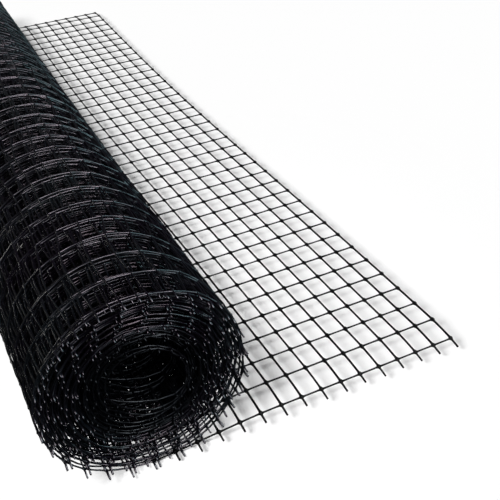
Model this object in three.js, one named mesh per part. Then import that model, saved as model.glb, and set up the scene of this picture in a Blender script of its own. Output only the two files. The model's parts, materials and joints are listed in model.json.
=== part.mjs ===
// A roll of mole netting: one web of extruded plastic net wound on itself, without a core,
// and its loose end laid out on the floor beside it.
//
// Millimetres, +Z up. The roll lies along Y with its near end at -Y, the loose end runs to +X,
// and the origin is the middle of the underside, on the surface that it all rests on.
//
// The real net has meshes of 25 by 17 mm and thirty turns. Here the strands are one and a half times
// as far apart and each turn stands for nearly four, so that meshes and turns stay few enough to model.
import * as THREE from 'three';

// The web
const WEB_WIDTH = 997; // between the cut ends of the strands that lie along the roll
const CUT_END = 11; // of such a strand, past the last strand that crosses it
const STRAND = 1.5; // thickness and width of a strand
const CLEAR = 0.3; // between the roll and its loose end

// The wound roll
const ROLL_RADIUS = 74;
const EYE_RADIUS = 29.5;
const TURNS = 8;
const STEPS = 30; // stations in each turn, with a strand along the roll at every other one
const TURN_GAP = 1;
const RING_COUNT = 27; // strands that run round the roll
const RING_RIB = 1.4;
const ALONG_RIB = 0.8;
const TOOTH = 7.5; // how far the cut ends stand past the web between them
const AXIS_BOW = 3.5; // of the whole roll, away from the free edge
const AXIS_YAW = 0.0156; // the roll lies a little askew to the net: sideways for each mm along it
const BAYS = 3; // straight stretches that stand for the bow
const SHIFT = { amount: 5, waves: 1.3, ripple: 1.6, ripples: 3.7 }; // turns that stand out endways
const DENT = { share: 0.006, lobes: 3, start: 1.1 }; // the roll isn't quite round

// The loose end
const FREE_REACH = 246.5; // from the middle of the roll to the free edge
const EDGE_BOW = 5.5; // of the free edge, towards the roll
const EDGE_WAVE = 1.9;
const COLUMNS = 9; // meshes between the roll and the free edge
const LIFT = 6; // of the net above the floor near the middle of its near half
const LIFT_RUN = 80; // from the roll to where the net is fully lifted
const FAR_LIFT = 0.3; // what is left of the lift at the far end
const DROOP = 2.2; // of the short edges
const DROOP_RUN = 30;
const CUT_DROOP = 2; // of the cut ends below the short edges

const BLACK = { color: 0x17191a, roughness: 0.42, metalness: 0 };

const lerp = THREE.MathUtils.lerp;
const clamp = THREE.MathUtils.clamp;
const LAST_RING = WEB_WIDTH / 2 - CUT_END;
const RING_PITCH = (2 * LAST_RING) / (RING_COUNT - 1);
const STEP_ANGLE = (2 * Math.PI) / STEPS;

// The roll's middle is lower than its radius, so that it rests on a flat two steps wide.
const AXIS_HEIGHT = ROLL_RADIUS * Math.cos(STEP_ANGLE);
const FLAT_HALF = ROLL_RADIUS * Math.sin(STEP_ANGLE);

// Radius of the turns' outer wall, without ribs, after so many turns from the outer end.
// The first turn is as thin as the net where it leaves the floor, and the last one ends thin too.
const FIRST_RADIUS = ROLL_RADIUS - RING_RIB;
const SECOND_RADIUS = AXIS_HEIGHT - STRAND - TURN_GAP;
const THIN_TURN = FIRST_RADIUS - SECOND_RADIUS;
const TURN_PITCH = (SECOND_RADIUS + THIN_TURN - TURN_GAP - EYE_RADIUS) / TURNS;

function wallRadius(turn) {
  const first = FIRST_RADIUS - THIN_TURN * clamp(turn, 0, 1);
  const middle = TURN_PITCH * clamp(turn - 1, 0, TURNS - 1);
  const last = THIN_TURN * clamp(turn - TURNS, 0, 1);
  return first - middle - last;
}

// The inner wall lies a gap outside the next turn, and flat on the floor's side of the first step.
function innerRadius(turn) {
  if (turn < 0) return (AXIS_HEIGHT - STRAND) / Math.cos(STEP_ANGLE);
  return wallRadius(turn + 1) + TURN_GAP;
}

// How far a turn is shifted along the roll. The outermost turn starts in line with the loose end.
function endShift(turn) {
  const depth = clamp(turn, 0, TURNS) / TURNS;
  const slow = SHIFT.amount * Math.sin(2 * Math.PI * SHIFT.waves * depth);
  const quick = SHIFT.ripple * Math.sin(2 * Math.PI * SHIFT.ripples * depth);
  return slow + quick;
}

// Where the middle of the roll lies, sideways, at a place along it. Its bow is made of straight bays.
function axisAt(y) {
  const place = clamp((y / WEB_WIDTH + 0.5) * BAYS, 0, BAYS);
  const bay = Math.min(Math.floor(place), BAYS - 1);
  const bowAfter = (bays) => 4 * AXIS_BOW * (bays / BAYS) * (1 - bays / BAYS);
  return AXIS_YAW * y - FREE_REACH - lerp(bowAfter(bay), bowAfter(bay + 1), place - bay);
}

// A point of the roll: clockwise from the floor as seen from the near end.
function rollPoint(turn, radius, y, onFloor) {
  const angle = 2 * Math.PI * turn;
  const round = 1 + DENT.share * Math.sin(DENT.lobes * angle + DENT.start) * Math.sin(angle / 2) ** 2;
  const x = axisAt(y) - radius * round * Math.sin(angle);
  const z = AXIS_HEIGHT - radius * round * Math.cos(angle);
  return new THREE.Vector3(x, y + endShift(turn), onFloor ? 0 : Math.max(z, 0));
}

// Rows of the outermost wall: its two ends, and each ring as a crest between two feet.
function ribbedRows(end) {
  const rows = [{ y: -end, rib: 0 }];
  for (let ring = 0; ring < RING_COUNT; ring++) {
    const y = ring * RING_PITCH - LAST_RING;
    rows.push({ y: y - STRAND, rib: 0 }, { y, rib: RING_RIB }, { y: y + STRAND, rib: 0 });
  }
  rows.push({ y: end, rib: 0 });
  return rows;
}

function plainRows(end) {
  const rows = [];
  for (let bay = 0; bay <= BAYS; bay++) {
    const share = (2 * bay) / BAYS - 1;
    rows.push({ y: Math.abs(share) === 1 ? share * end : (share * WEB_WIDTH) / 2, rib: 0 });
  }
  return rows;
}

// A closed mesh that grows point by point.
class Skin {
  constructor() {
    this.points = [];
    this.faces = [];
  }

  add(point) {
    this.points.push(point.x, point.y, point.z);
    return this.points.length / 3 - 1;
  }

  column(rows, place) {
    return rows.map((row) => ({ at: this.add(place(row)), y: row.y }));
  }

  triangle(a, b, c) {
    this.faces.push(a, b, c);
  }

  quad(a, b, c, d) {
    this.faces.push(a, b, c, a, c, d);
  }

  // Joins two columns of points that may differ in number, always taking the nearer next point.
  zip(left, right) {
    let i = 0;
    let j = 0;
    while (i < left.length - 1 || j < right.length - 1) {
      const rightDone = j === right.length - 1;
      const leftNext = i < left.length - 1 && (rightDone || left[i + 1].y <= right[j + 1].y);
      if (leftNext) {
        this.triangle(left[i].at, right[j].at, left[i + 1].at);
        i += 1;
      } else {
        this.triangle(left[i].at, right[j].at, right[j + 1].at);
        j += 1;
      }
    }
  }

  geometry() {
    const geometry = new THREE.BufferGeometry();
    geometry.setAttribute('position', new THREE.Float32BufferAttribute(this.points, 3));
    geometry.setIndex(this.faces);
    geometry.computeVertexNormals();
    return geometry;
  }
}

// The wound web: a spiral band from one step before the floor line to the eye.
function rollGeometry() {
  const skin = new Skin();
  const outer = [];
  const inner = [];
  const stations = TURNS * STEPS + 1;
  for (let station = 0; station <= stations; station++) {
    const turn = (station - 1) / STEPS;
    const strandHere = station % 2 === 0;
    const end = strandHere ? WEB_WIDTH / 2 : WEB_WIDTH / 2 - TOOTH;
    const ribbed = turn <= 1;
    const resting = station < 3;
    const ribsLeft = turn < 1 ? 1 : 0;
    const along = strandHere ? ALONG_RIB : 0;
    const rows = ribbed ? ribbedRows(end) : plainRows(end);
    const wall = (row) => wallRadius(turn) + (ribbed ? ribsLeft * Math.max(row.rib, along) : 0);
    outer.push(skin.column(rows, (row) => rollPoint(turn, wall(row), row.y, resting)));
    inner.push(skin.column(plainRows(end), (row) => rollPoint(turn, innerRadius(turn), row.y, false)));
  }
  for (let station = 0; station < stations; station++) {
    skin.zip(outer[station], outer[station + 1]);
    skin.zip(inner[station + 1], inner[station]);
    const walls = [inner[station], inner[station + 1], outer[station + 1], outer[station]];
    skin.quad(...walls.map((column) => column[0].at));
    skin.quad(...walls.map((column) => column.at(-1).at).reverse());
  }
  skin.zip(inner[0], outer[0]);
  skin.zip(outer[stations], inner[stations]);
  return skin.geometry();
}

// The free edge's place, sideways: nought at the near and far corners, bowed towards the roll between.
function freeEdgeAt(y) {
  const along = clamp(y / (2 * LAST_RING) + 0.5, 0, 1);
  return -EDGE_BOW * Math.sin(Math.PI * along) + EDGE_WAVE * Math.sin(2 * Math.PI * along);
}

function rollSideAt(y) {
  return axisAt(y) + FLAT_HALF + CLEAR;
}

// Height of the net's underside. It lies on the floor beside the roll, lifts clear of it, and droops
// at its short edges.
function underside(fromRoll, y) {
  const rise = THREE.MathUtils.smoothstep(fromRoll, 0, LIFT_RUN);
  const lift = LIFT * lerp(1, FAR_LIFT, THREE.MathUtils.smoothstep(y, -LAST_RING, LAST_RING));
  const inside = clamp((LAST_RING - Math.abs(y)) / DROOP_RUN, 0, 1);
  const past = Math.max(Math.abs(y) - LAST_RING, 0) / CUT_END;
  const droop = DROOP * (1 - inside) ** 2 + CUT_DROOP * past;
  return rise * Math.max(lift - droop, 0);
}

// A strand's two sides, as places on a line of strands that starts and ends flush.
function strandSides(count, length) {
  const sides = [];
  for (let strand = 0; strand < count; strand++) {
    const middle = lerp(STRAND / 2, length - STRAND / 2, strand / (count - 1));
    sides.push(middle - STRAND / 2, middle + STRAND / 2);
  }
  return sides;
}

// The loose end: strands along and across, with every mesh cut through.
function looseGeometry() {
  const skin = new Skin();
  const width = FREE_REACH - FLAT_HALF - CLEAR;
  const across = strandSides(COLUMNS + 1, width).map((side) => side / width);
  const ringSpan = 2 * LAST_RING + STRAND;
  const rings = strandSides(RING_COUNT, ringSpan).map((side) => side - ringSpan / 2);
  const along = [-WEB_WIDTH / 2, ...rings, WEB_WIDTH / 2];

  const place = (share, y, top) => {
    const x = lerp(rollSideAt(y), freeEdgeAt(y), share);
    const fromRoll = x - rollSideAt(y);
    return new THREE.Vector3(x, y, underside(fromRoll, y) + (top ? STRAND : 0));
  };
  const sheet = [false, true].map((top) =>
    across.map((share) => along.map((y) => skin.add(place(share, y, top)))),
  );
  const [bottom, above] = sheet;

  const solid = (i, j) => {
    if (i < 0 || j < 0 || i >= across.length - 1 || j >= along.length - 1) return false;
    return i % 2 === 0 || j % 2 === 1;
  };
  for (let i = 0; i < across.length - 1; i++) {
    for (let j = 0; j < along.length - 1; j++) {
      if (!solid(i, j)) continue;
      skin.quad(above[i][j], above[i + 1][j], above[i + 1][j + 1], above[i][j + 1]);
      skin.quad(bottom[i][j], bottom[i][j + 1], bottom[i + 1][j + 1], bottom[i + 1][j]);
      const rim = [
        { open: !solid(i, j - 1), from: [i, j], to: [i + 1, j] },
        { open: !solid(i + 1, j), from: [i + 1, j], to: [i + 1, j + 1] },
        { open: !solid(i, j + 1), from: [i + 1, j + 1], to: [i, j + 1] },
        { open: !solid(i - 1, j), from: [i, j + 1], to: [i, j] },
      ];
      for (const { open, from, to } of rim) {
        if (!open) continue;
        const [low, high] = [bottom, above].map((side) => [side[from[0]][from[1]], side[to[0]][to[1]]]);
        skin.quad(low[0], low[1], high[1], high[0]);
      }
    }
  }
  return skin.geometry();
}

// Both pieces, moved together so that the origin is the middle of their underside.
const pieces = { netting_roll: rollGeometry(), loose_end: looseGeometry() };
const bounds = new THREE.Box3();
for (const geometry of Object.values(pieces)) {
  geometry.computeBoundingBox();
  bounds.union(geometry.boundingBox);
}
const middle = bounds.getCenter(new THREE.Vector3());

const roll = new THREE.Group();
for (const [name, geometry] of Object.entries(pieces)) {
  geometry.translate(-middle.x, -middle.y, -bounds.min.z);
  const mesh = new THREE.Mesh(geometry, new THREE.MeshStandardMaterial(BLACK));
  mesh.name = name;
  roll.add(mesh);
}

export default roll;
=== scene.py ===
"""Roll of black mole netting: one web of extruded plastic net, wound on itself, its loose end on the floor.

The whole web comes from one map, Web.place, which takes a distance from the free edge and a place across
the web and gives a point in space. Every strand is a tube that follows that map, so its knots meet.
"""
import json
import math

import bpy
import numpy as np
from bpy.props import FloatProperty, FloatVectorProperty, IntProperty, PointerProperty
from mathutils import Matrix, Vector

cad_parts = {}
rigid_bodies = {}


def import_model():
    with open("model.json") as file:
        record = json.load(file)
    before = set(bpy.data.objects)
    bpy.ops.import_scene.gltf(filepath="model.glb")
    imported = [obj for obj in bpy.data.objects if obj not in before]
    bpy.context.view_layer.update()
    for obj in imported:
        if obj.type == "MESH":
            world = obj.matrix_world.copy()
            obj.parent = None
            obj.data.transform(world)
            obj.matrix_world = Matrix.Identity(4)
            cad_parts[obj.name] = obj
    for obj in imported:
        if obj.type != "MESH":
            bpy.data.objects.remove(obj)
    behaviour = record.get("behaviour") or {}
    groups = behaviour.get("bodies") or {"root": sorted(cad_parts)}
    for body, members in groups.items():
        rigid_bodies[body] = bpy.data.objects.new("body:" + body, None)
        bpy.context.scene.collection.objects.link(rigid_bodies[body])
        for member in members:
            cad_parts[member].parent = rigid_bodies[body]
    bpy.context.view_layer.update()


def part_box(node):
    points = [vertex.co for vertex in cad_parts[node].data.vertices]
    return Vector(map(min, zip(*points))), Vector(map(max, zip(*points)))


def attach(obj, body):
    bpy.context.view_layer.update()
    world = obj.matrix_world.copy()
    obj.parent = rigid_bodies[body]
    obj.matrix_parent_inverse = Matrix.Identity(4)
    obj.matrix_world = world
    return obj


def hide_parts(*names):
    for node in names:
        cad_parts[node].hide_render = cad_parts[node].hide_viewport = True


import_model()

bl_info = {
    "name": "Roll of mole netting",
    "version": (1, 0, 0),
    "blender": (4, 5, 0),
    "location": "3D View > Sidebar > Netting",
    "description": "Builds a wound web of square plastic net with its loose end laid out",
    "category": "Add Mesh",
}

LOOSE_LOW, LOOSE_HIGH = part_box("loose_end")
ROLL_LOW, ROLL_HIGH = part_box("netting_roll")
MM = 0.001
FULL_TURN = 2 * math.pi


# The sizes and colours that a user would change.

class NetSizes(bpy.types.PropertyGroup):
    """The net as it comes off the extruder, before it is wound."""

    mesh_across: FloatProperty(
        name="Mesh across", description="From one length strand to the next, along the roll",
        default=25 * MM, unit="LENGTH")
    mesh_length: FloatProperty(
        name="Mesh length", description="From one cross strand to the next, round the roll",
        default=17 * MM, unit="LENGTH")
    meshes_wide: IntProperty(
        name="Meshes wide", description="Meshes from one cut edge of the web to the other", default=39)
    cut_end: FloatProperty(
        name="Cut end", description="How far a cross strand reaches past the last length strand",
        default=8.8 * MM, unit="LENGTH")
    cut_spread: FloatProperty(
        name="Cut spread", description="How much the cut ends differ in length",
        default=1.8 * MM, unit="LENGTH")
    knot_radius: FloatProperty(
        name="Knot radius", description="Radius of a strand where it is welded to another",
        default=1.6 * MM, unit="LENGTH")
    shoulder_radius: FloatProperty(
        name="Shoulder radius", description="Radius of a strand at the edge of its knot",
        default=1.35 * MM, unit="LENGTH")
    neck_radius: FloatProperty(
        name="Neck radius", description="Radius of a strand just beside its knot",
        default=0.88 * MM, unit="LENGTH")
    strand_radius: FloatProperty(
        name="Strand radius", description="Radius of a strand where it leaves the neck",
        default=0.74 * MM, unit="LENGTH")
    middle_radius: FloatProperty(
        name="Middle radius", description="Radius of a strand half way between its knots, drawn thin",
        default=0.7 * MM, unit="LENGTH")
    cut_radius: FloatProperty(
        name="Cut radius", description="Radius of a cross strand at its cut tip",
        default=0.78 * MM, unit="LENGTH")


class RollSizes(bpy.types.PropertyGroup):
    """How the web is wound."""

    radius: FloatProperty(
        name="Radius", description="From the axis to the strands of the outermost turn",
        default=72.9 * MM, unit="LENGTH")
    pitch: FloatProperty(
        name="Turn pitch", description="How much the radius falls in one turn",
        default=1.36 * MM, unit="LENGTH")
    eye_pitch: FloatProperty(
        name="Eye pitch", description="How much more it falls in a turn next to the eye",
        default=1.3 * MM, unit="LENGTH")
    eye_turns: FloatProperty(
        name="Eye turns", description="Turns over which the winding loosens towards the eye", default=5.0)
    turns: FloatProperty(
        name="Turns", description="Turns from the contact line to where the inner end leaves the wall",
        default=29.8)
    sag: FloatProperty(
        name="Sag", description="How far the roll sinks onto its own underside",
        default=0.8 * MM, unit="LENGTH")
    sag_fade: FloatProperty(
        name="Sag fade", description="Height over which the underside is pressed together",
        default=12 * MM, unit="LENGTH")
    axis_bow: FloatProperty(
        name="Axis bow", description="How far the middle of the axis lies to the left of its ends",
        default=3.5 * MM, unit="LENGTH")
    axis_yaw: FloatProperty(
        name="Axis turn", description="Turn of the axis against the free edge",
        default=math.atan(0.0156), subtype="ANGLE")
    end_shift: FloatProperty(
        name="End shift", description="How far the turns slip endways over each other",
        default=3.4 * MM, unit="LENGTH")
    end_stretch: FloatProperty(
        name="End stretch", description="How much the turns differ in width at the far end",
        default=9 * MM, unit="LENGTH")
    wander: FloatProperty(
        name="Wander", description="How far the turns stray in and out", default=0.7 * MM, unit="LENGTH")
    skew: FloatProperty(
        name="Skew", description="How far the meshes are pulled out of square",
        default=4 * MM, unit="LENGTH")
    splay: FloatProperty(
        name="Splay", description="How far a cut end leans, as a share of its length", default=0.1)


class LieSizes(bpy.types.PropertyGroup):
    """How the loose end lies on the floor."""

    reach: FloatProperty(
        name="Reach", description="From the free edge back to the solid's own edge", default=1.7 * MM,
        unit="LENGTH")
    edge_bow: FloatProperty(
        name="Edge bow", description="How far the middle of the free edge is drawn in",
        default=5.5 * MM, unit="LENGTH")
    edge_wave: FloatProperty(
        name="Edge wave", description="Slow wave of the free edge", default=1.9 * MM, unit="LENGTH")
    edge_ripple: FloatProperty(
        name="Edge ripple", description="Quicker wave of the free edge", default=0.7 * MM, unit="LENGTH")
    lift_near: FloatProperty(
        name="Near lift", description="How high the free edge stands off the floor at the near end",
        default=7.4 * MM, unit="LENGTH")
    lift_middle: FloatProperty(
        name="Middle lift", description="The same half way along", default=5.0 * MM, unit="LENGTH")
    lift_far: FloatProperty(
        name="Far lift", description="The same at the far end", default=5.0 * MM, unit="LENGTH")
    lift_run: FloatProperty(
        name="Lift run", description="Distance from the contact line over which the web rises",
        default=95 * MM, unit="LENGTH")
    droop: FloatProperty(
        name="Droop", description="How far the last row of knots hangs below its neighbours",
        default=2.2 * MM, unit="LENGTH")
    droop_run: FloatProperty(
        name="Droop run", description="Distance from the cut edge over which the web bends down",
        default=30 * MM, unit="LENGTH")
    cut_droop: FloatProperty(
        name="Cut droop", description="How far the cut tips hang below the last row of knots",
        default=2 * MM, unit="LENGTH")


class Finishes(bpy.types.PropertyGroup):
    """The plastic and the floor."""

    plastic: FloatVectorProperty(
        name="Plastic", description="Black plastic where it is clean", subtype="COLOR",
        default=(0.0007, 0.0004, 0.0012))
    bloom: FloatVectorProperty(
        name="Bloom", description="Cool bloom that lies on the plastic in slow patches",
        subtype="COLOR", default=(0.0006, 0.0015, 0.0018))
    # Dust on the faces that look up, together with a painted sheen: these faces are drawn lighter as if lit
    # from above.
    dust_and_sheen: FloatVectorProperty(
        name="Dust", description="Fine dust on the faces that look up", subtype="COLOR",
        default=(0.0014, 0.0014, 0.0015))
    floor: FloatVectorProperty(
        name="Floor", description="Pale studio floor", subtype="COLOR", default=(0.92, 0.92, 0.92))


# The web.

def eased(share):
    """0 at 0 and 1 at 1, with no corner at either."""
    return share * share * (3 - 2 * share)


def smooth_step(place, start, end):
    """Rises from 0 at start to 1 at end with no corner."""
    return eased(np.clip((place - start) / (end - start), 0, 1))


def lobe(angle, crest, power):
    """1 at the crest's angle and 0 on the side across from it. A higher power makes it narrower."""
    return np.clip(0.5 + 0.5 * np.cos(angle - crest), 0, 1) ** power


class Wander:
    """A smooth, seeded unevenness over the web: random values on a coarse grid, blended between them."""

    ROWS = 640              # enough for the whole web at the finest step
    SPARE_COLUMNS = 4       # past the steps that the web is wide, so that its cut ends have values too
    SHORT_BY = 1.001        # a place is kept this far short of the count, so that values follow it

    def __init__(self, seed, step_length, step_across, columns):
        self.step_length = step_length
        self.step_across = step_across
        self.values = np.random.default_rng(seed).uniform(-1, 1, (self.ROWS, columns))

    def at(self, reach, across):
        """The unevenness at places of the web, from -1 to 1."""
        row, row_share = self.split(reach / self.step_length + 1, self.values.shape[0])
        column, column_share = self.split(across / self.step_across + 1, self.values.shape[1])
        low = self.blend(self.values[row, column], self.values[row, column + 1], column_share)
        high = self.blend(self.values[row + 1, column], self.values[row + 1, column + 1], column_share)
        return self.blend(low, high, row_share)

    def split(self, place, count):
        """The line of values before a place, and how far the place is on the way to the next one."""
        place = np.clip(place, 0, count - self.SHORT_BY)
        whole = np.floor(place).astype(int)
        return whole, place - whole

    @staticmethod
    def blend(low, high, share):
        return low + (high - low) * eased(share)


class Web:
    """The web's one map from a distance along it and a place across it to a point in space."""

    AXIS_ASIDE = 1.0 * MM           # the axis stands so far right of the middle of its solid
    SETTLE_RUN = 120 * MM           # past the contact line, over which the unevenness of the turns sets in

    # Angles are in radians from the roll's underside, clockwise as seen from the near end, as the web winds.
    # The outermost turn stands off the next one at the underside of the near end.
    NEAR_LOOSE = 1.6 * MM
    NEAR_LOOSE_RUN = 70 * MM
    NEAR_LOOSE_TURNS = (0.45, 1)
    NEAR_LOOSE_CREST = 0.3
    NEAR_LOOSE_POWER = 8

    # At the near end's lower right the outermost turns hang out and those under them draw in.
    END_LOOSE = 5.0 * MM
    END_LOOSE_RUN = 65 * MM
    END_LOOSE_TURNS = (0.45, 0.9, 9, 26)
    END_LOOSE_INWARD = (0, -1, 1, 0)
    END_LOOSE_CREST = -0.6
    END_LOOSE_POWER = 5

    # The last turns stand off the wall of the eye at its lower left.
    EYE_DROOP = 11 * MM
    EYE_DROOP_TURNS = 6.5
    EYE_DROOP_CREST = 0.6
    EYE_DROOP_POWER = 3

    WOUND_CUT_END = 4.6 * MM        # how far a cross strand in the roll reaches past the last length strand
    WOUND_CUT_DRIFT = 1.5 * MM
    WOUND_CUT_TURNS = (1.2, 3.5)    # the turns over which the cut ends get shorter
    SPREAD = 9 * MM                 # the turns creep round over each other, so cross strands don't line up
    SLIP_FINE_SHARE = 0.5
    CROSS_BOW = 0.7 * MM            # a cross strand bows out between its knots
    DENT_SHARE = 0.006              # the roll isn't quite round
    DENT_LOBES = 3
    DENT_START = 1.1
    JITTER = 0.4 * MM
    UNDER_FLOOR_SHARE = 0.05        # what is left of a dip under the floor
    TURN_STEPS = 900

    # The inner end leaves the eye's wall and leans across its lower part. These are the corners of its
    # curve, from the axis.
    INNER_CURVE = np.array([(27.6, -9.2), (24.5, -21.0), (-2.0, -21.0), (-28.0, 0.0)]) * MM
    INNER_STEPS = 40

    def __init__(self, net, roll, lie):
        self.net = net
        self.roll = roll
        self.lie = lie
        self.width = net.meshes_wide * net.mesh_across
        self.start = (LOOSE_LOW.y + LOOSE_HIGH.y) / 2 - self.width / 2
        self.rest = ROLL_LOW.z + net.knot_radius
        self.make_uneven()
        self.turns = np.linspace(0, roll.turns, self.TURN_STEPS)
        loose = np.clip(self.turns - roll.turns + roll.eye_turns, 0, None)
        self.radii = roll.radius - roll.pitch * self.turns
        self.radii = self.radii - roll.eye_pitch * loose ** 2 / (2 * roll.eye_turns)
        arcs = FULL_TURN * np.diff(self.turns) * (self.radii[:-1] + self.radii[1:]) / 2
        self.lengths = np.concatenate([[0], np.cumsum(arcs)])
        share = np.linspace(0, 1, self.INNER_STEPS)[:, None]
        first, second, third, fourth = self.INNER_CURVE
        self.inner = (first * (1 - share) ** 3 + 3 * second * share * (1 - share) ** 2
                      + 3 * third * share ** 2 * (1 - share) + fourth * share ** 3)
        steps = np.linalg.norm(np.diff(self.inner, axis=0), axis=1)
        self.inner_reach = np.concatenate([[0], np.cumsum(steps)])
        whole_length = self.wound_length() + self.inner_reach[-1] + self.contact(share=0.5)
        self.strands = int(whole_length / net.mesh_length) + 1

    def make_uneven(self):
        """The slow and quick unevenness of the wound web, each with a seed of its own."""
        whole = dict(step_across=self.width, columns=Wander.SPARE_COLUMNS)
        mesh_length = self.net.mesh_length
        columns = self.net.meshes_wide + Wander.SPARE_COLUMNS
        mesh = dict(step_length=mesh_length, step_across=self.net.mesh_across, columns=columns)
        self.slip = Wander(seed=3, step_length=330 * MM, **whole)
        self.slip_fine = Wander(seed=4, step_length=31 * MM, step_across=160 * MM, columns=12)
        self.in_out = Wander(seed=5, step_length=60 * MM, step_across=75 * MM, columns=20)
        self.pull = Wander(seed=6, step_length=140 * MM, step_across=55 * MM, columns=22)
        self.jitter_round = Wander(seed=7, **mesh)
        self.jitter_across = Wander(seed=8, **mesh)
        self.jitter_out = Wander(seed=9, **mesh)
        self.lean_round = Wander(seed=10, step_length=mesh_length, **whole)
        self.lean_out = Wander(seed=11, step_length=mesh_length, **whole)
        self.cut_drift = Wander(seed=13, step_length=90 * MM, **whole)
        self.spread = Wander(seed=14, step_length=260 * MM, step_across=400 * MM, columns=6)
        self.stretch = Wander(seed=12, step_length=130 * MM, **whole)

    def share(self, across):
        """0 at the near cut edge's last length strand, 1 at the far one."""
        return across / self.width

    def edge(self, share):
        """Where the free edge lies, sideways."""
        lie = self.lie
        bow = lie.edge_bow * np.sin(math.pi * share)
        wave = lie.edge_wave * np.sin(2 * math.pi * share)
        ripple = lie.edge_ripple * np.sin(3 * math.pi * share)
        return LOOSE_HIGH.x - lie.reach - bow + wave + ripple

    def axis(self, share):
        """Where the roll's axis lies, sideways."""
        roll = self.roll
        start = (ROLL_LOW.x + ROLL_HIGH.x) / 2
        bow = 4 * roll.axis_bow * share * (1 - share)
        return start + self.AXIS_ASIDE + math.tan(roll.axis_yaw) * (share - 0.5) * self.width - bow

    def contact(self, share):
        """How much of the web lies flat before it meets the roll's underside."""
        return self.edge(share) - self.axis(share)

    def turn(self, wound):
        """Turns made once that much of the web is wound."""
        return np.interp(wound, self.lengths, self.turns)

    def wound_length(self):
        return self.lengths[-1]

    def cut_length(self, reach):
        """How far a cross strand at that distance from the free edge reaches past the last length strand."""
        wound = smooth_step(self.turn(reach - self.contact(share=0.0)), *self.WOUND_CUT_TURNS)
        drift = self.WOUND_CUT_END + self.WOUND_CUT_DRIFT * self.cut_drift.at(reach, reach * 0)
        return self.net.cut_end + (drift - self.net.cut_end) * wound

    def height(self, reach, share, across):
        """How high the flat part stands above its place on the floor."""
        lie = self.lie
        sides = (2 * share - 1) ** 2
        ends = np.where(share < 0.5, lie.lift_near, lie.lift_far)
        crest = lie.lift_middle + (ends - lie.lift_middle) * sides
        rise = smooth_step(self.contact(share) - reach, 0, lie.lift_run)
        inside = np.minimum(across, self.width - across)
        bend = np.clip(1 - inside / lie.droop_run, 0, 1) ** 2
        past = np.clip(-inside / self.net.cut_end, 0, 1)
        return rise * np.maximum(crest - lie.droop * bend - lie.cut_droop * past, 0)

    def place(self, reach, across):
        """The point at a distance from the free edge and from the near end's last length strand."""
        reach, across = np.broadcast_arrays(reach, across)
        share = self.share(across)
        wound = reach - self.contact(share)
        flat = self.flat_place(reach, share, across)
        round_place = self.wound_place(reach, share, across, np.clip(wound, 0, None))
        return np.where((wound > 0)[..., None], round_place, flat)

    def flat_place(self, reach, share, across):
        """Where a point lies before the contact line."""
        x = self.edge(share) - reach
        y = self.start + across
        z = self.rest + self.height(reach, share, across)
        return np.stack([x, y, z], -1)

    def wound_place(self, reach, share, across, wound):
        """Where a point lies past the contact line, with that much of the web wound before it."""
        inside = np.clip(across, 0, self.width)
        past = across - inside
        settle = smooth_step(wound, 0, self.SETTLE_RUN)
        radius, angle = self.round_place(reach, across, wound, settle, inside, past)
        stray = settle * self.JITTER * self.jitter_out.at(reach, inside)
        past_wall = wound - self.wound_length()
        lean_x, lean_z = self.leant_place(share, past_wall)
        aside = np.where(past_wall > 0, lean_x + stray, -radius * np.sin(angle))
        above = np.where(past_wall > 0, lean_z + stray, -radius * np.cos(angle))
        x = self.axis(share) + aside
        y = self.start + across + settle * self.endways(reach, share, inside)
        z = self.rest + self.settled(self.roll.radius + above)
        return np.stack([x, y, z], -1)

    def round_place(self, reach, across, wound, settle, inside, past):
        """A point's distance from the axis and its angle round it."""
        roll = self.roll
        turn = self.turn(wound)
        pull = roll.skew * self.pull.at(reach, inside) + self.JITTER * self.jitter_round.at(reach, inside)
        pull = settle * pull + settle * self.SPREAD * self.spread.at(reach, inside)
        radius = np.interp(turn, self.turns, self.radii)
        angle = FULL_TURN * turn + pull / radius
        dent = self.DENT_SHARE * np.sin(self.DENT_LOBES * angle + self.DENT_START)
        radius = radius * (1 + settle * dent)
        cell = across / self.net.mesh_across
        radius = radius + settle * self.CROSS_BOW * np.abs(np.sin(math.pi * cell)) * (past == 0)
        stray = roll.wander * self.in_out.at(reach, inside)
        radius = radius + settle * (stray + self.JITTER * self.jitter_out.at(reach, inside))
        radius = radius - self.near_gap(turn, angle, inside) - self.eye_droop(turn, angle)
        radius = radius - self.end_loose(turn, angle, inside)
        radius = radius + settle * roll.splay * np.abs(past) * self.lean_out.at(reach, inside)
        angle = angle + settle * roll.splay * np.abs(past) * self.lean_round.at(reach, inside) / radius
        return radius, angle

    def leant_place(self, share, past_wall):
        """The inner end's place from the axis, once it has left the eye's wall."""
        spare = (self.strands - 1) * self.net.mesh_length - self.contact(share) - self.wound_length()
        leant = np.clip(past_wall / spare, 0, 1) * self.inner_reach[-1]
        return (np.interp(leant, self.inner_reach, self.inner[:, 0]),
                np.interp(leant, self.inner_reach, self.inner[:, 1]))

    def endways(self, reach, share, inside):
        """How far a point of the roll slips along it."""
        roll = self.roll
        slip = self.slip.at(reach, inside * 0) + self.SLIP_FINE_SHARE * self.slip_fine.at(reach, inside)
        return (roll.end_shift * slip + roll.end_stretch * share * self.stretch.at(reach, inside * 0)
                + self.JITTER * self.jitter_across.at(reach, inside))

    def near_gap(self, turn, angle, inside):
        """How far the turns inside the outermost one are drawn in at the near end's underside."""
        low = lobe(angle, self.NEAR_LOOSE_CREST, self.NEAR_LOOSE_POWER)
        under = smooth_step(turn, *self.NEAR_LOOSE_TURNS)
        return self.NEAR_LOOSE * low * under * np.exp(-inside / self.NEAR_LOOSE_RUN)

    def end_loose(self, turn, angle, inside):
        """How far each turn is drawn in at the near end's lower right. Less than nothing is outwards."""
        side = lobe(angle, self.END_LOOSE_CREST, self.END_LOOSE_POWER)
        inward = np.interp(turn, self.END_LOOSE_TURNS, self.END_LOOSE_INWARD)
        return self.END_LOOSE * side * inward * np.exp(-inside / self.END_LOOSE_RUN)

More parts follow.
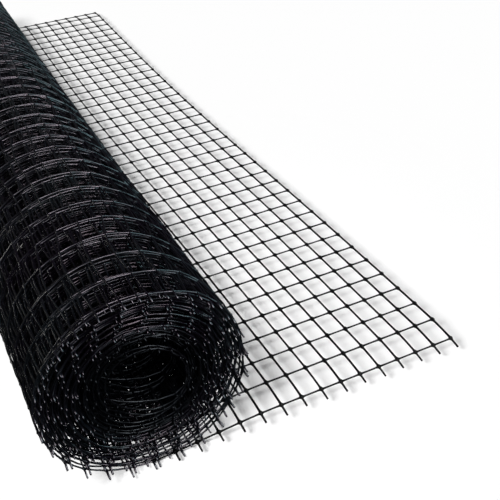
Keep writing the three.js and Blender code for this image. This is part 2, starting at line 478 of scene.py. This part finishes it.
    def eye_droop(self, turn, angle):
        """How far the last turns are drawn in at the eye's lower left."""
        low = lobe(angle, self.EYE_DROOP_CREST, self.EYE_DROOP_POWER)
        last = self.roll.turns
        return self.EYE_DROOP * low * smooth_step(turn, last - self.EYE_DROOP_TURNS, last) ** 2

    def settled(self, height):
        """The roll sinks by its sag and the turns under it close up, but nothing goes through the floor."""
        roll = self.roll
        lifted = np.clip(height, 0, None)
        sunk = roll.sag * (1 - np.exp(-lifted / roll.sag_fade))
        return lifted - sunk + np.minimum(height, 0) * self.UNDER_FLOOR_SHARE


# The strands.

class Detail:
    """How finely a strand is drawn: its sides, the radius of its knots, the spots beside a knot with the
    radius at each, the radius half way to the next knot, and how thick the cross strands and the length
    strands are against these."""

    def __init__(self, sides, knot, spots, middle, cross_share=1.0, length_share=1.0):
        self.sides = sides
        self.knot = knot
        self.spots = spots
        self.middle = middle
        self.cross_share = cross_share
        self.length_share = length_share

    def cell(self, pitch, thickness):
        """Distances from a knot up to, but without, the next one, and the radius at each."""
        after = [(place, radius * thickness) for place, radius in self.spots]
        before = [(pitch - place, radius) for place, radius in reversed(after)]
        rows = [(0.0, self.knot)] + after + [(pitch / 2, self.middle * thickness)] + before
        places, radii = np.array(rows).T
        return places, radii

    def row(self, pitch, cells, thickness):
        """The same over a whole row of cells, with its last knot."""
        places, radii = self.cell(pitch, thickness)
        starts = np.arange(cells)[:, None] * pitch
        places = np.append((starts + places).ravel(), cells * pitch)
        radii = np.append(np.tile(radii, cells), self.knot)
        return places, radii


def tubes(points, radii, sides, reference, phase):
    """Closed tubes along rows of points. reference is a direction that no strand of the group runs in."""
    strands, spots = points.shape[:2]
    ahead = np.empty_like(points)
    ahead[:, 1:-1] = points[:, 2:] - points[:, :-2]
    ahead[:, 0] = points[:, 1] - points[:, 0]
    ahead[:, -1] = points[:, -1] - points[:, -2]
    ahead /= np.linalg.norm(ahead, axis=-1, keepdims=True)
    aside = reference - (ahead @ reference)[..., None] * ahead
    aside /= np.linalg.norm(aside, axis=-1, keepdims=True)
    above = np.cross(ahead, aside)
    turn = np.arange(sides) * FULL_TURN / sides + phase[:, None, None]
    ring = (np.cos(turn)[..., None] * aside[:, :, None] + np.sin(turn)[..., None] * above[:, :, None])
    vertices = points[:, :, None] + radii[..., None, None] * ring
    number = np.arange(strands * spots * sides).reshape(strands, spots, sides)
    near, far = number[:, :-1], number[:, 1:]
    walls = np.stack([near, np.roll(near, -1, 2), np.roll(far, -1, 2), far], -1)
    caps = np.concatenate([number[:, 0, ::-1], number[:, -1]])
    return vertices.reshape(-1, 3), walls.reshape(-1, 4), caps.reshape(-1, sides)


def solid(name, groups):
    """One mesh object from several groups of tubes."""
    vertices = np.concatenate([group[0] for group in groups])
    corners = []
    sizes = []
    first = 0
    for group_vertices, walls, caps in groups:
        for faces in (walls, caps):
            corners.append((faces + first).ravel())
            sizes.append(np.full(len(faces), faces.shape[1]))
        first += len(group_vertices)
    corners = np.concatenate(corners)
    sizes = np.concatenate(sizes)
    mesh = bpy.data.meshes.new(name)
    mesh.vertices.add(len(vertices))
    mesh.vertices.foreach_set("co", vertices.astype(np.float32).ravel())
    mesh.loops.add(len(corners))
    mesh.loops.foreach_set("vertex_index", corners.astype(np.int32))
    mesh.polygons.add(len(sizes))
    mesh.polygons.foreach_set("loop_start", (np.cumsum(sizes) - sizes).astype(np.int32))
    mesh.update(calc_edges=True)
    mesh.shade_smooth()
    piece = bpy.data.objects.new(name, mesh)
    bpy.context.scene.collection.objects.link(piece)
    return piece


class Stretch:
    """A stretch of the web from one cross strand to another, drawn at one fineness."""

    END_NUB = 1.1 * MM          # how far a length strand reaches past the web's first or last cross strand
    NECK_PLACE = 2 * MM         # from the last knot to the neck beside it, on the way to the cut tip
    CUT_SEED = 21
    CROSS_SEED = 31
    LENGTH_SEED = 41

    def __init__(self, web, first, last, detail, is_start=False, is_end=False):
        self.web = web
        self.first = first
        self.last = last
        self.detail = detail
        self.is_start = is_start
        self.is_end = is_end

    def cross_strands(self):
        """The strands that run along the roll, each with a cut end past the web's two edges."""
        net = self.web.net
        count = np.arange(self.first, self.last)
        places, radii = self.detail.row(net.mesh_across, net.meshes_wide, self.detail.cross_share)
        unequal = np.random.default_rng(self.CUT_SEED + self.first).uniform(-1, 1, (len(count), 2))
        lengths = unequal * net.cut_spread / 2 + self.web.cut_length(count * net.mesh_length)[:, None]
        far = self.web.width
        near_neck = np.full(len(count), -self.NECK_PLACE)
        inside = np.broadcast_to(places, (len(count), len(places)))
        across = np.column_stack([-lengths[:, 0], near_neck, inside, far - near_neck, far + lengths[:, 1]])
        tip = [net.cut_radius, net.neck_radius]
        thick = np.broadcast_to(np.concatenate([tip, radii, tip[::-1]]), across.shape)
        points = self.web.place(count[:, None] * net.mesh_length, across)
        phase = np.random.default_rng(self.CROSS_SEED + self.first).uniform(0, FULL_TURN, len(count))
        return tubes(points, thick, self.detail.sides, np.array([1.0, 0.0, 0.0]), phase)

    def length_strands(self):
        """The strands that run round the roll."""
        net = self.web.net
        cells = self.last - self.first
        places, radii = self.detail.row(net.mesh_length, cells, self.detail.length_share)
        reach = self.first * net.mesh_length + places
        if self.is_start:
            reach = np.insert(reach, 0, reach[0] - self.END_NUB)
            radii = np.insert(radii, 0, net.neck_radius)
        if self.is_end:
            tip = (self.last - 1) * net.mesh_length + self.END_NUB
            kept = np.searchsorted(reach, tip)
            reach = np.append(reach[:kept], tip)
            radii = np.append(radii[:kept], net.neck_radius)
        across = np.arange(net.meshes_wide + 1)[:, None] * net.mesh_across
        points = self.web.place(reach[None, :], across)
        thick = np.broadcast_to(radii, points.shape[:2])
        phase = np.random.default_rng(self.LENGTH_SEED + self.first).uniform(0, FULL_TURN, len(across))
        return tubes(points, thick, self.detail.sides, np.array([0.0, 1.0, 0.0]), phase)

    def flat_size(self):
        """The web's width with its cut ends, and the length of the stretch."""
        net = self.web.net
        return (self.web.width + 2 * net.cut_end, (self.last - self.first) * net.mesh_length)


# The finishes.

class Wire:
    """An output socket that takes part in sums, so that shader maths reads as plain arithmetic."""

    def __init__(self, finish, socket):
        self.finish = finish
        self.socket = socket

    def maths(self, operation, first, second):
        made = self.finish.node("ShaderNodeMath", {"operation": operation}, {0: first, 1: second})
        return Wire(self.finish, made.outputs["Value"])

    def __add__(self, other):
        return self.maths("ADD", self, other)

    def __radd__(self, other):
        return self.maths("ADD", other, self)

    def __mul__(self, other):
        return self.maths("MULTIPLY", self, other)

    def __rmul__(self, other):
        return self.maths("MULTIPLY", other, self)

    def above(self, low, high):
        """0 under low, 1 over high, and even between them."""
        made = self.finish.node("ShaderNodeMapRange", {"clamp": True},
                                {"Value": self, "From Min": low, "From Max": high})
        return Wire(self.finish, made.outputs["Result"])


class Finish:
    """A material, its main shader and the nodes that feed it."""

    # A Mix node's sockets for colours go by number, because those for numbers have the same names.
    MIX_LOW = 6
    MIX_HIGH = 7
    MIX_RESULT = 2

    def __init__(self, name):
        self.material = bpy.data.materials.new(name)
        self.material.use_nodes = True
        self.tree = self.material.node_tree
        self.shader = self.tree.nodes["Principled BSDF"]

    def node(self, kind, settings=None, values=None):
        """A node of that type, with its settings and the values or links of its sockets."""
        made = self.tree.nodes.new(kind)
        for setting, value in (settings or {}).items():
            setattr(made, setting, value)
        for socket, value in (values or {}).items():
            self.feed(made.inputs[socket], value)
        return made

    def feed(self, socket, value):
        if isinstance(value, Wire):
            self.tree.links.new(value.socket, socket)
        else:
            socket.default_value = value

    def set(self, name, value):
        self.feed(self.shader.inputs[name], value)

    def noise(self, scale, detail, roughness):
        """Cloudy value noise that is fixed to the object, at so many clouds a metre."""
        place = Wire(self, self.node("ShaderNodeTexCoord").outputs["Object"])
        made = self.node("ShaderNodeTexNoise", {}, {
            "Vector": place, "Scale": scale, "Detail": detail, "Roughness": roughness})
        return Wire(self, made.outputs["Fac"])

    def mix(self, share, low, high):
        values = {"Factor": share, self.MIX_LOW: low, self.MIX_HIGH: high}
        made = self.node("ShaderNodeMix", {"data_type": "RGBA"}, values)
        return Wire(self, made.outputs[self.MIX_RESULT])

    def bump(self, height, strength, distance):
        values = {"Height": height, "Strength": strength, "Distance": distance}
        made = self.node("ShaderNodeBump", {}, values)
        return Wire(self, made.outputs["Normal"])

    def up(self):
        """How far the face looks up, from -1 to 1."""
        normal = Wire(self, self.node("ShaderNodeNewGeometry").outputs["Normal"])
        made = self.node("ShaderNodeSeparateXYZ", {}, {"Vector": normal})
        return Wire(self, made.outputs["Z"])


def rgba(colour):
    """The colour as four numbers, the last of them for solid."""
    return (*colour, 1.0)


PLASTIC_NAME = "black net plastic"
PLASTIC_SPECULAR = 0.26
PLASTIC_ROUGHNESS = 0.22
GRAIN_ROUGHNESS = 0.12
BLOOM_ROUGHNESS = 0.08
# Roughness and amount of the dust on upward faces, which is also a painted sheen there.
DUST_AND_SHEEN_ROUGHNESS = 0.1
DUST_AND_SHEEN_AMOUNT = 0.8
FLOOR_NAME = "pale floor"
FLOOR_ROUGHNESS = 0.9
FLOOR_SPECULAR = 0.1


def black_plastic(colours):
    """Near black plastic with a faint bloom in slow patches, dust and a painted sheen on its upper faces and
    a fine grain.
    """
    finish = Finish(PLASTIC_NAME)
    patches = finish.noise(scale=14, detail=3, roughness=0.6).above(low=0.42, high=0.68)
    specks = finish.noise(scale=330, detail=3, roughness=0.7).above(low=0.45, high=0.75)
    grain = finish.noise(scale=900, detail=2, roughness=0.6)
    # Upward faces take a lighter colour in specks: partly dust, partly a painted sheen standing in for light
    # from above.
    dust_and_sheen_mask = finish.up().above(low=0.1, high=1.0) * specks * DUST_AND_SHEEN_AMOUNT
    colour = finish.mix(patches, rgba(colours.plastic), rgba(colours.bloom))
    finish.set("Base Color", finish.mix(dust_and_sheen_mask, colour, rgba(colours.dust_and_sheen)))
    roughness = PLASTIC_ROUGHNESS + grain * GRAIN_ROUGHNESS + patches * BLOOM_ROUGHNESS
    finish.set("Roughness", roughness + dust_and_sheen_mask * DUST_AND_SHEEN_ROUGHNESS)
    finish.set("Normal", finish.bump(grain, strength=0.35, distance=0.15 * MM))
    finish.set("Specular IOR Level", PLASTIC_SPECULAR)
    return finish.material


def pale_floor(colours):
    """Matt white studio floor."""
    finish = Finish(FLOOR_NAME)
    finish.set("Base Color", rgba(colours.floor))
    finish.set("Roughness", FLOOR_ROUGHNESS)
    finish.set("Specular IOR Level", FLOOR_SPECULAR)
    return finish.material


def kept_material(name, make, colours):
    """The finish of that name, made the first time that it is asked for."""
    found = bpy.data.materials.get(name)
    return found if found else make(colours)


# The pieces.

# The area of net in a piece, as a share of its flat size: half of the skin of the loose end's strands.
SHEET_SHARE = 0.3


def dress(piece, stretch, node):
    """Gives a stretch of the web its finish and its place in the frame, and hides the part that it stands
    for. Its flat size and area are worked out, but nothing uses them.
    """
    colours = bpy.context.scene.netting_finishes
    piece.data.materials.append(kept_material(PLASTIC_NAME, black_plastic, colours))
    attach(piece, "root")
    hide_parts(node)
    flat = stretch.flat_size()
    SHEET_SHARE * flat[0] * flat[1]


def current_web():
    scene = bpy.context.scene
    return Web(scene.netting_net, scene.netting_roll, scene.netting_lie)


def fine_detail(net):
    """The loose end, whose knots and tapers show one by one."""
    shoulder = (1.0 * MM, net.shoulder_radius)
    neck = (1.9 * MM, net.neck_radius)
    strand = (4.0 * MM, net.strand_radius)
    return Detail(sides=6, knot=net.knot_radius, spots=[shoulder, neck, strand], middle=net.middle_radius,
                  cross_share=1.26, length_share=1.02)


def outer_detail():
    """The turns that show on the outside."""
    return Detail(sides=4, knot=1.3 * MM, spots=[(1.7 * MM, 0.78 * MM)], middle=0.68 * MM,
                  cross_share=0.94, length_share=1.1)


def middle_detail():
    """The turns under those, which show through their meshes and at the near end's rim."""
    return Detail(sides=3, knot=1.5 * MM, spots=[(1.7 * MM, 0.86 * MM)], middle=0.74 * MM)


def inner_detail():
    """The turns that show only as rings and cut ends round the eye."""
    return Detail(sides=3, knot=1.2 * MM, spots=[], middle=0.48 * MM)


class LooseEnd(bpy.types.Operator):
    """Lays out the loose end of the web, from its free edge to where it goes under the roll"""

    bl_idname = "netting.loose_end"
    bl_label = "Loose end"

    STRANDS = 15

    def execute(self, context):
        web = current_web()
        stretch = Stretch(web, 0, self.STRANDS, fine_detail(web.net), is_start=True)
        piece = solid("loose_web", [stretch.cross_strands(), stretch.length_strands()])
        dress(piece, stretch, "loose_end")
        return {"FINISHED"}


class WoundTurns(bpy.types.Operator):
    """Winds the rest of the web, from the outermost turns to the inner end that leans across the eye"""

    bl_idname = "netting.wound_turns"
    bl_label = "Wound turns"

    OUTER_STRANDS = 56
    MIDDLE_PIECES = 2
    MIDDLE_STRANDS = 92
    INNER_PIECES = 3

    def execute(self, context):
        web = current_web()
        last = web.strands
        cuts = [LooseEnd.STRANDS, LooseEnd.STRANDS + self.OUTER_STRANDS]
        for _ in range(self.MIDDLE_PIECES):
            cuts.append(cuts[-1] + self.MIDDLE_STRANDS)
        start = cuts[-1]
        for number in range(1, self.INNER_PIECES + 1):
            cuts.append(start + round((last - start) * number / self.INNER_PIECES))
        inner = [middle_detail()] * self.MIDDLE_PIECES + [inner_detail()] * self.INNER_PIECES
        details = [outer_detail()] + inner
        for number, (first, end, detail) in enumerate(zip(cuts, cuts[1:], details), 1):
            stretch = Stretch(web, first, end, detail, is_end=end == last)
            piece = solid("wound_turns_%d" % number, [stretch.cross_strands(), stretch.length_strands()])
            dress(piece, stretch, "netting_roll")
        return {"FINISHED"}


# The stage.

CAMERA_PLACE = (-181.9 * MM, -888.0 * MM, 447.9 * MM)
CAMERA_AZIMUTH = math.radians(23.51)
CAMERA_ELEVATION = math.radians(-34.177)
CAMERA_ROLL = math.radians(-3.989)
CAMERA_LENS = 59.8
CAMERA_SENSOR = 36
CAMERA_NEAR = 10 * MM
FLOOR_HALF = 40.0
WHITE = (1.0, 1.0, 1.0)
WORLD_LIGHT = 0.055
FLOOR_PIECES = ("floor",)
ROLL_PIECES = ("wound_turns",)
# All turns but the innermost, which the photo shows dark.
OUTER_PIECES = ("wound_turns_1", "wound_turns_2", "wound_turns_3", "wound_turns_4", "wound_turns_5")
# The outermost turns and those that show through their meshes.
UPPER_PIECES = ("wound_turns_1", "wound_turns_2")
LOOSE_PIECES = ("loose_web",)
WEB_PIECES = LOOSE_PIECES + ROLL_PIECES

# Each lamp's name, the side that it stands on in degrees (0 is +X, 90 is +Y), its height in degrees, its
# strength, how many degrees wide it looks from the object, its colour, the only pieces that it lights and
# the only pieces that shade it. Pieces are given by how their names start.
LAMPS = (
    ("floor from the left", 213, 54.5, 1.6, 14, WHITE, FLOOR_PIECES, ROLL_PIECES),
    ("floor from the low left", 183, 36, 3.3, 24, WHITE, FLOOR_PIECES, LOOSE_PIECES),
    ("roll from above", 290, 58, 6.8, 38, (1.0, 0.8, 0.92), OUTER_PIECES, WEB_PIECES),
    ("upper turns from above", 280, 56, 3.2, 42, (0.9, 0.92, 1.0), UPPER_PIECES, LOOSE_PIECES),
    ("roll from the front right", 322, 44, 2.6, 36, (0.84, 0.92, 1.0), ROLL_PIECES, WEB_PIECES),
    ("roll from the right", 350, 25, 3.2, 34, (0.55, 0.92, 1.0), OUTER_PIECES, WEB_PIECES),
    ("roll from the back left", 135, 14, 0.45, 7, (1.0, 0.98, 0.94), OUTER_PIECES, WEB_PIECES),
    ("roll from the front", 284, 20, 1.7, 60, (0.74, 0.86, 1.0), ROLL_PIECES, WEB_PIECES),
    ("loose end from above", 300, 70, 2.0, 44, WHITE, LOOSE_PIECES, WEB_PIECES),
)
# The foot spot lightens the roll's shadow on the floor at the foot of the near end.
FOOT_SPOT_PLACE = Vector((-380, -1050, 800)) * MM
FOOT_SPOT_AIM = Vector((-30, -435, 0)) * MM
FOOT_SPOT_POWER = 25.0
FOOT_SPOT_WIDTH = math.radians(12)
FOOT_SPOT_RADIUS = 220 * MM


def plane_piece(name, half):
    """A square in the XY plane, with its middle at the origin."""
    mesh = bpy.data.meshes.new(name)
    corners = [(-half, -half, 0), (half, -half, 0), (half, half, 0), (-half, half, 0)]
    mesh.from_pydata(corners, [], [(0, 1, 2, 3)])
    piece = bpy.data.objects.new(name, mesh)
    bpy.context.scene.collection.objects.link(piece)
    return piece


def collection_of(name, starts):
    """A collection of its own for the pieces whose names start so."""
    collection = bpy.data.collections.new(name)
    for piece in bpy.context.scene.objects:
        if piece.type == "MESH" and piece.name.startswith(starts):
            collection.objects.link(piece)
    return collection


def linked_lamp(light, lit, shading):
    """A lamp with that light, which lights only some pieces and is shaded only by some."""
    lamp = bpy.data.objects.new(light.name, light)
    bpy.context.scene.collection.objects.link(lamp)
    lamp.light_linking.receiver_collection = collection_of(light.name + " lights", lit)
    lamp.light_linking.blocker_collection = collection_of(light.name + " is shaded by", shading)
    return lamp


class Stage(bpy.types.Operator):
    """Sets up the floor, the lights and the camera"""

    bl_idname = "netting.stage"
    bl_label = "Stage"

    def execute(self, context):
        self.floor()
        self.world()
        self.suns()
        self.foot_spot()
        self.camera()
        return {"FINISHED"}

    def floor(self):
        floor = plane_piece("floor", FLOOR_HALF)
        floor.location.z = ROLL_LOW.z
        floor.visible_glossy = False        # a white floor mirrored in the plastic would grey its lower half
        colours = bpy.context.scene.netting_finishes
        floor.data.materials.append(kept_material(FLOOR_NAME, pale_floor, colours))

    def world(self):
        scene = bpy.context.scene
        scene.view_settings.view_transform = "Standard"
        world = bpy.data.worlds.new("studio")
        world.use_nodes = True
        back = world.node_tree.nodes["Background"]
        back.inputs["Color"].default_value = rgba(WHITE)
        back.inputs["Strength"].default_value = WORLD_LIGHT
        scene.world = world

    def suns(self):
        for name, side, height, strength, width, colour, lit, shading in LAMPS:
            light = bpy.data.lights.new(name, "SUN")
            light.energy = strength
            light.angle = math.radians(width)
            light.color = colour
            turn = Matrix.Rotation(math.radians(side), 4, "Z")
            tip = Matrix.Rotation(math.radians(90 - height), 4, "Y")
            linked_lamp(light, lit, shading).matrix_world = turn @ tip

    def foot_spot(self):
        light = bpy.data.lights.new("foot spot", "SPOT")
        light.energy = FOOT_SPOT_POWER
        light.spot_size = FOOT_SPOT_WIDTH
        light.spot_blend = 1.0
        light.shadow_soft_size = FOOT_SPOT_RADIUS
        lamp = linked_lamp(light, FLOOR_PIECES, LOOSE_PIECES)
        lamp.location = FOOT_SPOT_PLACE
        lamp.rotation_euler = (FOOT_SPOT_AIM - FOOT_SPOT_PLACE).to_track_quat("-Z", "Y").to_euler()

    def camera(self):
        view = bpy.data.cameras.new("camera")
        view.lens = CAMERA_LENS
        view.sensor_width = CAMERA_SENSOR
        view.clip_start = CAMERA_NEAR
        camera = bpy.data.objects.new("camera", view)
        turn = Matrix.Rotation(-CAMERA_AZIMUTH, 4, "Z")
        tip = Matrix.Rotation(math.pi / 2 + CAMERA_ELEVATION, 4, "X")
        roll = Matrix.Rotation(CAMERA_ROLL, 4, "Z")
        camera.matrix_world = Matrix.Translation(CAMERA_PLACE) @ turn @ tip @ roll
        bpy.context.scene.collection.objects.link(camera)
        bpy.context.scene.camera = camera


class NettingPanel(bpy.types.Panel):
    """Sizes and steps of the netting roll"""

    bl_idname = "VIEW3D_PT_netting"
    bl_label = "Roll of mole netting"
    bl_space_type = "VIEW_3D"
    bl_region_type = "UI"
    bl_category = "Netting"

    def draw(self, context):
        layout = self.layout
        for group in GROUPS:
            settings = getattr(context.scene, group)
            box = layout.box()
            for name in settings.__annotations__:
                box.prop(settings, name)
        for operator in OPERATORS:
            layout.operator(operator.bl_idname)


GROUPS = {
    "netting_net": NetSizes,
    "netting_roll": RollSizes,
    "netting_lie": LieSizes,
    "netting_finishes": Finishes,
}
OPERATORS = (LooseEnd, WoundTurns, Stage)
CLASSES = tuple(GROUPS.values()) + OPERATORS + (NettingPanel,)


def register():
    for each in CLASSES:
        bpy.utils.register_class(each)
    for name, group in GROUPS.items():
        setattr(bpy.types.Scene, name, PointerProperty(type=group))


def unregister():
    for name in GROUPS:
        delattr(bpy.types.Scene, name)
    for each in reversed(CLASSES):
        bpy.utils.unregister_class(each)


def main():
    register()
    bpy.ops.netting.loose_end()
    bpy.ops.netting.wound_turns()
    bpy.ops.netting.stage()


if __name__ == "__main__":
    main()
